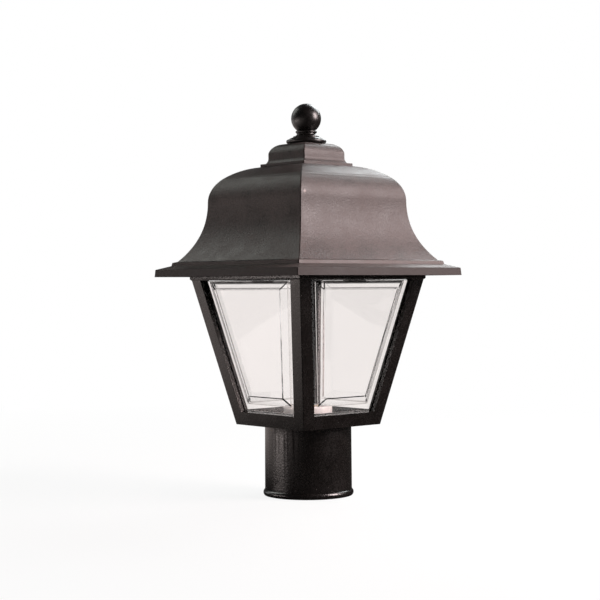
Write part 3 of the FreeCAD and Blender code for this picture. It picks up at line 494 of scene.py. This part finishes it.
paper_grey = (0.78, 0.78, 0.78)
paper_pale = (0.82, 0.82, 0.82)
plain_white = (1.0, 1.0, 1.0)
card_warmth = (1.0, 0.86, 0.82)
card_direction = (-0.743, -0.669, 0.0)
card_start = 0.1407
card_fade = 0.3704
card_glow = 0.8
dark_side_glow = 0.03
near_share = 0.88
mirrored_share = 0.985
fade_start = 0.3333
fade_length = 0.8333
floor_half = 30.0
floor_drop = 0.0005

paper, place, plug = new_finish("white paper", Roughness=0.9)
plug("Base Color", blend_colours(noise(place, size=0.4), paper_grey, paper_pale))
seen = ray(place, "Is Camera Ray")
through = ray(place, "Is Transmission Ray")
mirrored = (1 - through) * ray(place, "Is Glossy Ray")
distance = place.node("ShaderNodeVectorMath", {"operation": "LENGTH"}, {0: place}, outlet="Value")
leftward = place.node("ShaderNodeVectorMath", {"operation": "DOT_PRODUCT"},
                      {0: place, 1: card_direction}, outlet="Value")
left_card = climb(leftward - card_start, card_fade)
far = climb(distance - fade_start, fade_length)
brightness = seen + through + mirrored * (dark_side_glow + card_glow * left_card)
warmth = blend_colours(mirrored, plain_white, card_warmth)
glow = place.node("ShaderNodeEmission", {}, {"Color": dimmed(warmth, brightness), "Strength": 1.0})
glowing = seen * (near_share + (1 - near_share) * far) + through + mirrored_share * mirrored
mix_surface(paper, glowing, glow)

bm = bmesh.new()
bmesh.ops.create_grid(bm, x_segments=1, y_segments=1, size=floor_half)
bmesh.ops.translate(bm, verts=bm.verts, vec=(0, 0, -floor_drop))
floor = bpy.data.objects.new("floor", bpy.data.meshes.new("floor"))
show(floor)
bm.to_mesh(floor.data)
bm.free()
dress(floor, paper)


# Studio light. A white surround for the camera and the clear panes, dim for the black coats, and
# soft boxes: a warm key on the right, a low wide one on the left, and cooler ones above and behind.

dim_level = 0.04
world = bpy.data.worlds.new("studio")
bpy.context.scene.world = world
world.use_nodes = True
tree = world.node_tree
sky = Wire(tree, tree.nodes["Background"].outputs[0])
level = dim_level + (1 - dim_level) * (ray(sky, "Is Camera Ray") + ray(sky, "Is Transmission Ray"))
tree.nodes["Background"].inputs["Color"].default_value = (1, 1, 1, 1)
tree.links.new(level.socket, tree.nodes["Background"].inputs["Strength"])


def softbox(name, azimuth, elevation, distance, width, height, power, colour):
    """A rectangular lamp that looks at the lantern's middle."""
    lamp = bpy.data.lights.new(name, "AREA")
    lamp.shape = "RECTANGLE"
    lamp.size = width
    lamp.size_y = height
    lamp.energy = power
    lamp.color = colour
    lit = bpy.data.objects.new(name, lamp)
    show(lit)
    turn = Matrix.Rotation(math.radians(azimuth), 4, "Z")
    tilt = Matrix.Rotation(math.radians(90 - elevation), 4, "X")
    middle = Matrix.Translation(Vector((0, 0, 0.2)))
    lit.visible_camera = False
    lit.visible_transmission = False
    lit.matrix_world = middle @ turn @ tilt @ Matrix.Translation((0, 0, distance))


softbox("key softbox", azimuth=125, elevation=25, distance=1.1, width=0.5, height=0.6,
        power=23, colour=(1.0, 0.85, 0.84))
softbox("left softbox", azimuth=-32, elevation=-7, distance=1.4, width=1.0, height=0.22,
        power=5.5, colour=(1.0, 0.88, 0.85))
softbox("upper left softbox", azimuth=-76, elevation=38, distance=1.5, width=0.7, height=0.7,
        power=4.3, colour=(0.98, 1.0, 0.94))
softbox("far left softbox", azimuth=-80, elevation=10, distance=1.3, width=0.5, height=0.8,
        power=1.2, colour=(1.0, 1.0, 1.0))
softbox("back softbox", azimuth=197, elevation=40, distance=1.5, width=0.9, height=0.8,
        power=17, colour=(0.95, 0.99, 1.0))


# Camera. It stands where the photograph was taken from, level with the head's middle. Its heading,
# dip and roll are the ones that lay the cage's and the hood's corners on the photograph's.

camera_azimuth = math.radians(48.216)
camera_heading = 48.496
camera_distance = 1.4439
camera_height = 0.2008
camera_dip = 0.506
camera_roll = -0.378
lens = bpy.data.cameras.new("photo view")
lens.lens = 89.45
lens.sensor_width = 36.0
camera = bpy.data.objects.new("photo view", lens)
show(camera)
stand = Matrix.Translation((math.sin(camera_azimuth) * camera_distance,
                            -math.cos(camera_azimuth) * camera_distance, camera_height))
heading = Matrix.Rotation(math.radians(camera_heading), 4, "Z")
dip = Matrix.Rotation(math.radians(90 - camera_dip), 4, "X")
roll = Matrix.Rotation(math.radians(camera_roll), 4, "Z")
camera.matrix_world = stand @ heading @ dip @ roll
bpy.context.scene.camera = camera
bpy.context.scene.view_settings.view_transform = "Standard"
